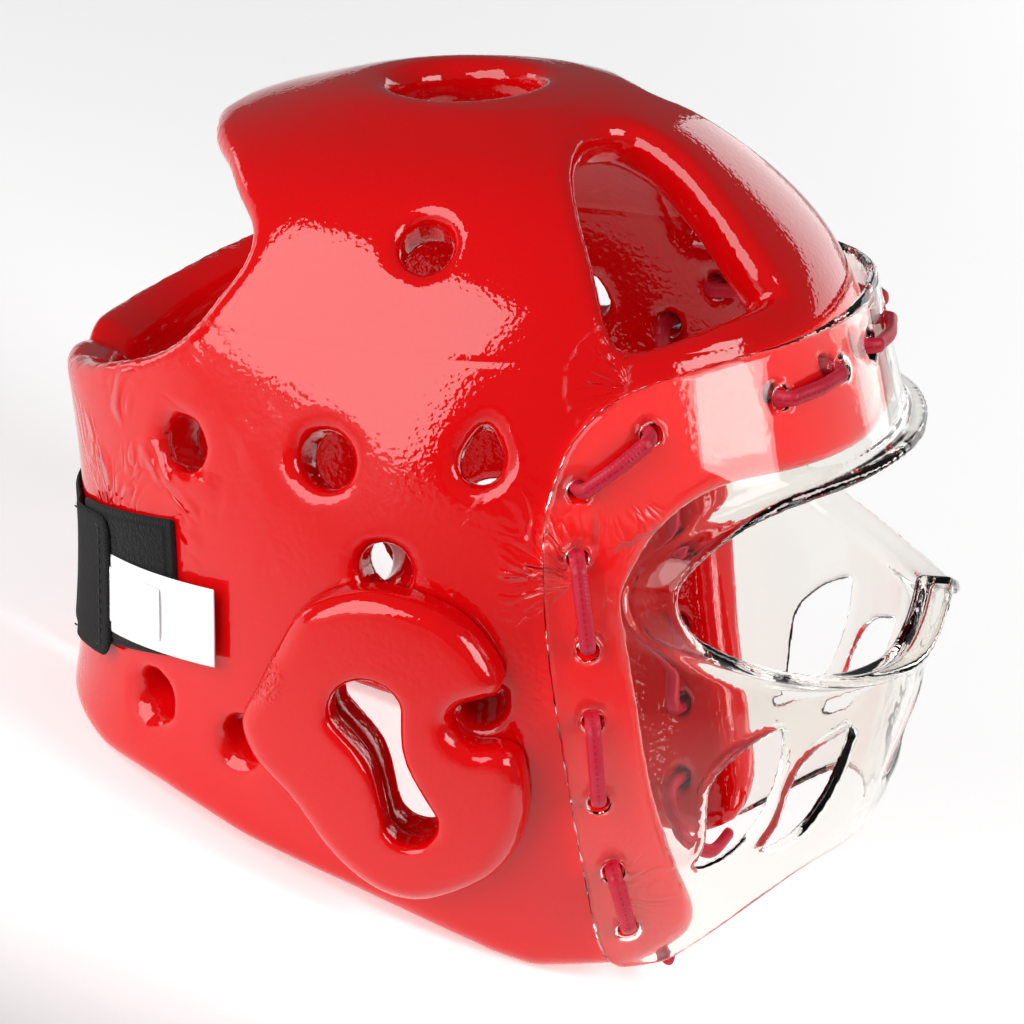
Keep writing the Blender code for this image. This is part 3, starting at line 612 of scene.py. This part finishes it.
rim_loops = [rim_loop(RIM_ROUNDING, False), rim_loop(RIM_ROUNDING, True),
             rim_loop(RIM_WIDTH - RIM_ROUNDING, True), rim_loop(RIM_WIDTH - RIM_ROUNDING, False)]
count = len(eye)
k = np.arange(count)
m = (k + 1) % count
rim_faces = []
for a in range(4):
    b = (a + 1) % 4
    rim_faces += [np.stack([a * count + k, a * count + m, b * count + m], -1),
                  np.stack([a * count + k, b * count + m, b * count + k], -1)]
rim_body = np.vstack(rim_loops), np.vstack(rim_faces)

face_side = distances([closed_body([ring(shield_form, h) for h in np.arange(-14, 197, 3)])],
                      shield_low, shield_high, SHIELD_CELL, 9)
clear = np.maximum(face_side, -(face_side + SHIELD_THICK))
plan = np.vstack([curved(SHIELD_OUTLINE, 5, False), SHIELD_LOWER_EDGE[:1],
                  curved(SHIELD_LOWER_EDGE[1:], 5, False)[:-1]])
inside_plan = distances([across(plan, -130, 130)], shield_low, shield_high, SHIELD_CELL, 6)
clear = cut_away(clear, -inside_plan, 1.5)
eye_cut = distances([across(eye + eye_normal * RIM_WIDTH / 2, 20, 150, 1)],
                    shield_low, shield_high, SHIELD_CELL, 6)
clear = cut_away(clear, eye_cut, 1.0)
rim = distances([rim_body], shield_low, shield_high, SHIELD_CELL, 8) - RIM_ROUNDING
clear = -cut_away(-clear, rim, 2.5)
slot_cuts = [outwards(loop, 0.7, 1.3) for outline in (OUTER_SLOT, INNER_SLOT)
             for loop in mirrored(on_form(shield_form, outline))]
chin = symmetric(CHIN_SLOT)
slot_cuts.append(outwards(np.stack([chin[:, 0], ahead(chin[:, 0], chin[:, 1]), chin[:, 1]], -1), 0.7, 1.3))
clear = cut_away(clear, distances(slot_cuts, shield_low, shield_high, SHIELD_CELL, 6), 1.5)
clear = cut_away(clear, distances(hole_cuts, shield_low, shield_high, SHIELD_CELL, 5), 1.3)
clear_points, clear_quads = skin(clear, shield_low, SHIELD_CELL, SHIELD_SMOOTHING)
clear_plastic = new_finish("clear_plastic", (0.94, 0.925, 0.885), 0.01, Transmission_Weight=1.0, IOR=1.36)
# lamplight passes through the plastic, and its shadow is faint
ray = node(clear_plastic, "ShaderNodeLightPath").outputs["Is Shadow Ray"]
lets_through = node(clear_plastic, "ShaderNodeMapRange", {"To Min": 1.0, "To Max": 0.08}, {"Value": ray})
feed(clear_plastic, "Alpha", lets_through.outputs["Result"])
shield_piece = make_mesh("clear_shield", clear_points, clear_quads, clear_plastic)
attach(shield_piece, "root")
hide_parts("face_shield")

# Lace:
# One flat braided cord, a little darker than the foam, sewn in a running stitch through the shield
# and the foam behind it. It starts and ends under the chin, where its ends are tucked away.
LACE_WIDE, LACE_THICK = 4.5, 3.3
LACE_RED, LACE_DASH = (0.46, 0.008, 0.03), (0.30, 0.005, 0.018)
STITCH_ROUND = 80.0      # radius that an outer stitch bows to
LACE_END = [(-52, 57, 0), (-41, 53, -2), (-33, 46, 6)]
over = LACE_THICK / 2 + 0.25


def foam_depth(place, axis):
    """How far along the axis the foam's inner face lies behind the shield's outer face."""
    depths = np.arange(0, 60, 0.5)
    spots = place - axis * depths[:, None]
    cells = np.clip(np.round((spots - shell_low) / CELL).astype(int), 0, np.array(outer.shape) - 1)
    behind = outer[cells[:, 0], cells[:, 1], cells[:, 2]] < -(WALL + 0.5)
    return depths[np.argmax(behind)] + over + 0.8


depths = [foam_depth(p, a) for p, a in zip(lace_holes, lace_axes)]
inside = [p - a * d for p, a, d in zip(lace_holes, lace_axes, depths)]
route = [np.array(p, float) for p in LACE_END] + [inside[0] + (6, 0, -5)]
flat = [np.array([0.0, 0.3, 1.0])] * len(route)
for i in range(len(lace_holes) - 1):
    p, q, a, b = lace_holes[i], lace_holes[i + 1], lace_axes[i], lace_axes[i + 1]
    way = (q - p) / np.linalg.norm(q - p)
    out = (a + b) / np.linalg.norm(a + b)
    across_stitch = np.cross(way, out)
    if i % 2 == 0:
        if i == 0:
            route += [inside[0], p - a * 8]
            flat += [across_stitch] * 2
        # up out of one hole, flat over the shield in a slight bow, and down the next hole
        bow = np.dot(q - p, q - p) / (8 * STITCH_ROUND)
        route += [p - a * 2.5, p + a * (over - 0.4) + way * 2.2, p + a * (over + 0.1) + way * 5.0,
                  (p + q) / 2 + out * (bow + over),
                  q + b * (over + 0.1) - way * 5.0, q + b * (over - 0.4) - way * 2.2, q - b * 2.5, q - b * 8]
        flat += [across_stitch] * 8
    else:
        # along the foam's inner face to the hole where the next outer stitch starts
        route += [inside[i], (inside[i] + inside[i + 1]) / 2, inside[i + 1], q - b * 8]
        flat += [across_stitch] * 4
route += [inside[-1], inside[-1] + (-6, 0, -5)]
route += [np.array(p, float) * (-1, 1, 1) for p in reversed(LACE_END)]
flat += [across_stitch] * 2 + [np.array([0.0, 0.3, 1.0])] * 3
centre = curved(route, 6, False)
sideways = curved(flat, 6, False)
tangent = np.gradient(centre, axis=0)
tangent /= np.linalg.norm(tangent, axis=1)[:, None]
for _ in range(6):
    sideways[1:-1] = (sideways[:-2] + sideways[2:] + 2 * sideways[1:-1]) / 4
sideways -= tangent * np.einsum('ij,ij->i', sideways, tangent)[:, None]
sideways /= np.linalg.norm(sideways, axis=1)[:, None]
upright = np.cross(sideways, tangent)
LACE_SIDES = 16
turn = np.linspace(-np.pi / 2, 1.5 * np.pi, LACE_SIDES, endpoint=False)
round_x = np.sign(np.cos(turn)) * np.abs(np.cos(turn)) ** 0.8 * LACE_WIDE / 2
round_y = np.sign(np.sin(turn)) * np.abs(np.sin(turn)) ** 0.8 * LACE_THICK / 2
tube = (centre[:, None] + sideways[:, None] * round_x[None, :, None]
        + upright[:, None] * round_y[None, :, None])
stations = len(centre)
grid_a = (np.arange(stations - 1)[:, None] * LACE_SIDES + np.arange(LACE_SIDES)).ravel()
grid_b = (np.arange(stations - 1)[:, None] * LACE_SIDES + (np.arange(LACE_SIDES) + 1) % LACE_SIDES).ravel()
lace_quads = np.stack([grid_a, grid_b, grid_b + LACE_SIDES, grid_a + LACE_SIDES], -1)
end_tips = [centre[0] - tangent[0] * 0.8, centre[-1] + tangent[-1] * 0.8]
lace_points = np.vstack([tube.reshape(-1, 3)] + [np.repeat([tip], LACE_SIDES, 0) for tip in end_tips])
last, base = (stations - 1) * LACE_SIDES, stations * LACE_SIDES
s_now, s_next = np.arange(LACE_SIDES), (np.arange(LACE_SIDES) + 1) % LACE_SIDES
lace_quads = np.vstack([lace_quads, np.stack([s_next, s_now, base + s_now, base + s_next], -1),
                        np.stack([last + s_now, last + s_next, base + LACE_SIDES + s_next,
                                  base + LACE_SIDES + s_now], -1)])
lace_finish = new_finish("braided_lace", LACE_RED, 0.42, Specular_IOR_Level=0.3)
lace_piece = make_mesh("braided_lace", lace_points, lace_quads, lace_finish)
run = np.concatenate([[0], np.cumsum(np.linalg.norm(np.diff(centre, axis=0), axis=1))])
mark(lace_piece, "run", np.append(np.repeat(run, LACE_SIDES), np.repeat(run[[0, -1]], LACE_SIDES)))
mark(lace_piece, "turn", np.append(np.tile(turn, stations), np.tile(turn, 2)))


def sums(finish, *steps):
    """A chain of sums on one value: each step is an operation and its second number."""
    value = steps[0]
    for operation, *second in steps[1:]:
        made = node(finish, "ShaderNodeMath", {"operation": operation}, {0: value})
        for place, number in enumerate(second, 1):
            if isinstance(number, (int, float)):
                made.inputs[place].default_value = number
            else:
                finish.node_tree.links.new(number, made.inputs[place])
        value = made.outputs["Value"]
    return value


along, about = marked(lace_finish, "run"), marked(lace_finish, "turn")
strands = [sums(lace_finish, along, ('MULTIPLY', 5.2), (way, sums(lace_finish, about, ('MULTIPLY', 4.0))),
                ('SINE',)) for way in ('ADD', 'SUBTRACT')]
braid = sums(lace_finish, strands[0], ('MAXIMUM', strands[1]), ('MULTIPLY', 0.3))
middle_line = sums(lace_finish, about, ('SUBTRACT', math.pi / 2), ('ABSOLUTE',), ('LESS_THAN', 0.12))
dash = sums(lace_finish, along, ('DIVIDE', 2.0), ('FRACT',), ('LESS_THAN', 0.7), ('MULTIPLY', middle_line))
relief = sums(lace_finish, braid, ('SUBTRACT', dash))
lace_bump = node(lace_finish, "ShaderNodeBump", {"Strength": 0.5, "Distance": 0.0002}, {"Height": relief})
lace_colour = node(lace_finish, "ShaderNodeMix", {"data_type": 'RGBA'}, {"Factor": dash})
for socket, colour in ((6, LACE_RED), (7, LACE_DASH)):
    lace_colour.inputs[socket].default_value = (*colour, 1)
feed(lace_finish, "Normal", lace_bump.outputs["Normal"])
feed(lace_finish, "Base Color", lace_colour.outputs[2])
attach(lace_piece, "root")
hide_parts("lace")

# Rear strap:
# A woven elastic strap sewn to the left rear flap. It crosses the slit and its end, a folded and
# stitched tab with hooks under it, is pressed on the loop patch of the right flap.
# plan angle, height off the foam, bottom and top; so are the patch's and the label's rows
STRAP = [(214, 0.3, 84, 126), (160, 0.3, 84, 126), (155, 2.6, 84, 126.5), (142.3, 2.6, 84.5, 128)]
STRAP_THICK = 1.6


def around_back(form, angle, height, off):
    """A place over the foam by plan angle: 90 at the right side, 180 behind."""
    front, rear, half = (reach + off for reach in reaches(form, height))
    c, s = np.cos(np.radians(angle)), np.sin(np.radians(angle))
    reach = np.where(c > 0, front - WIDEST, rear + WIDEST)
    power = 2 / np.where(c > 0, FRONT_POWER, REAR_POWER)
    return np.stack(np.broadcast_arrays(-half * np.sign(s) * np.abs(s) ** power,
                                        WIDEST + reach * np.sign(c) * np.abs(c) ** power, height), -1)


def band_piece(name, rows, thick, material, columns, lines, corner=0.0, bulging=None):
    """A band over the foam: rows of plan angle, height off the foam, bottom and top."""
    rows = np.array(rows, float)
    turned = np.concatenate([[0], np.cumsum(np.abs(np.diff(rows[:, 0])))])
    along = np.linspace(0, turned[-1], columns)
    angle, off, bottom, top = (np.interp(along, turned, rows[:, k]) for k in range(4))
    for _ in range(4):
        off[1:-1] = (off[:-2] + off[2:] + 2 * off[1:-1]) / 4
    if corner:
        left = np.radians(turned[-1] - along) * 100
        cut = corner - np.sqrt(np.maximum(corner**2 - np.maximum(corner - left, 0) ** 2, 0))
        bottom, top = bottom + cut, top - cut
    share = np.linspace(0, 1, lines)[:, None]
    height = bottom + (top - bottom) * share
    edge = np.minimum(share, 1 - share) * (top - bottom)
    softer = np.minimum(edge / (thick / 2), 1)
    bulge = thick / 2 * np.sqrt(np.maximum(1 - (1 - softer) ** 2, 0.02))
    middle = off + thick / 2
    layers = [around_back(foam_form, angle, height, middle + side * bulge) for side in (-1, 1)]
    if bulging is not None:
        layers[1] = around_back(foam_form, angle, height, middle + bulge + bulging(along / turned[-1], share))
    points = np.vstack([layer.reshape(-1, 3) for layer in layers])
    index = np.arange(lines * columns).reshape(lines, columns)
    under, upper = index, index + lines * columns
    quads = []
    for sheet in (under, upper):
        corners = sheet[:-1, :-1], sheet[:-1, 1:], sheet[1:, 1:], sheet[1:, :-1]
        quads.append(np.stack(corners, -1).reshape(-1, 4))
    quads[0] = quads[0][:, ::-1]
    for row in (0, -1):
        wall = np.stack([under[row, :-1], under[row, 1:], upper[row, 1:], upper[row, :-1]], -1)
        quads.append(wall if row == 0 else wall[:, ::-1])
    for column in (0, -1):
        wall = np.stack([under[:-1, column], under[1:, column], upper[1:, column], upper[:-1, column]], -1)
        quads.append(wall[:, ::-1] if column == 0 else wall)
    piece = make_mesh(name, points, np.vstack(quads), material)
    run = np.tile(np.broadcast_to(np.radians(along) * 100, height.shape).ravel(), 2)
    mark(piece, "run", run)
    mark(piece, "rise", np.tile(height.ravel(), 2))
    return piece


def woven(finish, thread, depth):
    """Relief of a plain weave with threads so many millimetres apart."""
    sines = [sums(finish, marked(finish, name), ('MULTIPLY', 2 * math.pi / thread), ('SINE',))
             for name in ("run", "rise")]
    bump = node(finish, "ShaderNodeBump", {"Strength": 0.8, "Distance": depth},
                {"Height": sums(finish, sines[0], ('MULTIPLY', sines[1]))})
    feed(finish, "Normal", bump.outputs["Normal"])


def seam(name, stops, off, length, gap, radius, material):
    """A row of sewn threads over the foam, through stops of plan angle and height."""
    places = around_back(foam_form, *np.array(stops, float).T, off)
    legs = np.linalg.norm(np.diff(places, axis=0), axis=1)
    reach = np.concatenate([[0], np.cumsum(legs)])
    starts = np.arange(gap / 2, reach[-1] - length, length + gap)
    points, quads = [], []
    rounds, sides = np.linspace(0, 1, 7), 6
    for start in starts:
        line = np.stack([np.interp(start + rounds * length, reach, places[:, k]) for k in range(3)], -1)
        way = (line[-1] - line[0]) / np.linalg.norm(line[-1] - line[0])
        out = line[3] * (1, 1, 0) - (0, WIDEST, 0)
        out = out - way * (out @ way)
        out /= np.linalg.norm(out)
        beside_way = np.cross(way, out)
        size = radius * np.sqrt(np.maximum(1 - (2 * rounds - 1) ** 4, 0.02))
        a = np.linspace(0, 2 * np.pi, sides, endpoint=False)
        tube = (line[:, None] + size[:, None, None] * (np.cos(a)[None, :, None] * out
                + np.sin(a)[None, :, None] * beside_way)).reshape(-1, 3)
        base = len(points) * len(tube)
        points.append(tube)
        ring_now = base + (np.arange(6)[:, None] * sides + np.arange(sides)).ravel()
        ring_next = base + (np.arange(6)[:, None] * sides + (np.arange(sides) + 1) % sides).ravel()
        quads.append(np.stack([ring_now, ring_next, ring_next + sides, ring_now + sides], -1))
        end = np.array([[0, 1, 2, 3], [0, 3, 4, 5]])
        quads += [base + end[:, ::-1], base + 6 * sides + end]
    piece = make_mesh(name, np.vstack(points), np.vstack(quads), material)
    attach(piece, "root")


webbing = new_finish("woven_elastic", (0.008, 0.008, 0.0085), 0.8, Specular_IOR_Level=0.25)
woven(webbing, 1.1, 0.00025)
strap_piece = band_piece("strap_band", STRAP, STRAP_THICK, webbing, 90, 40, 4.0)
thread = new_finish("black_thread", (0.010, 0.010, 0.011), 0.5)
seam("strap_end_stitches", [(157, 87.5), (144.5, 87.5), (144.5, 124.5), (157, 124.5)],
     4.3, 2.2, 0.9, 0.28, thread)
seam("strap_root_stitches", [(211, 87), (200, 87), (200, 123), (211, 123), (211, 87)],
     1.8, 2.2, 0.9, 0.28, thread)
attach(strap_piece, "root")
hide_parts("rear_strap")

# Loop patch:
# The soft half of the hook-and-loop fastening: a black patch of brushed loops, sewn to the right
# flap with a bound edge.
PATCH = [(154, 0.5, 85.5, 128), (127, 0.5, 92, 134)]
loops_black = new_finish("brushed_loops", (0.006, 0.006, 0.006), 0.9,
                         Specular_IOR_Level=0.2, Sheen_Weight=0.08)
loop_spot = node(loops_black, "ShaderNodeTexCoord").outputs["Object"]
loop_noise = node(loops_black, "ShaderNodeTexNoise", {"Scale": 1500.0, "Detail": 1.0}, {"Vector": loop_spot})
loop_bump = node(loops_black, "ShaderNodeBump", {"Strength": 0.9, "Distance": 0.0004},
                 {"Height": loop_noise.outputs["Fac"]})
feed(loops_black, "Normal", loop_bump.outputs["Normal"])
PATCH_LONG, PATCH_HIGH, PATCH_THICK = 47, 42, 1.8
BOUND_EDGE, TUFT = 2.4, 0.35      # the edge's width, how high the loops stand and how low the edge is
PATCH_POINTS = 110      # along it and up it
tufts = np.random.default_rng(7).uniform(0, TUFT, (PATCH_POINTS, PATCH_POINTS))


def pile(along, share):
    """Brushed loops inside a bound edge."""
    inward = np.minimum(np.minimum(along, 1 - along) * PATCH_LONG, np.minimum(share, 1 - share) * PATCH_HIGH)
    return np.where(inward > BOUND_EDGE, tufts, -TUFT)


patch_piece = band_piece("loop_patch_pile", PATCH, PATCH_THICK, loops_black, PATCH_POINTS, PATCH_POINTS,
                         bulging=pile)
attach(patch_piece, "root")
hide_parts("loop_patch")

# Label:
# A blank label of woven white satin tape, caught in the strap's end, with a smaller one of the same
# tape lying on it.
LABEL = [(142, 2.6, 93, 117), (118.3, 3.6, 93, 117)]
SMALL_LABEL = [(141.8, 3.5, 96.5, 113.5), (134, 3.6, 97, 113.5), (128.4, 4.6, 97, 113)]
satin = new_finish("white_satin", (0.9, 0.9, 0.885), 0.4)
woven(satin, 0.6, 0.00006)
label_piece = band_piece("label_tape", LABEL, 0.6, satin, 40, 24)
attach(label_piece, "root")
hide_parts("label")
small_label = band_piece("label_overlay", SMALL_LABEL, 0.35, satin, 30, 16)
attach(small_label, "root")
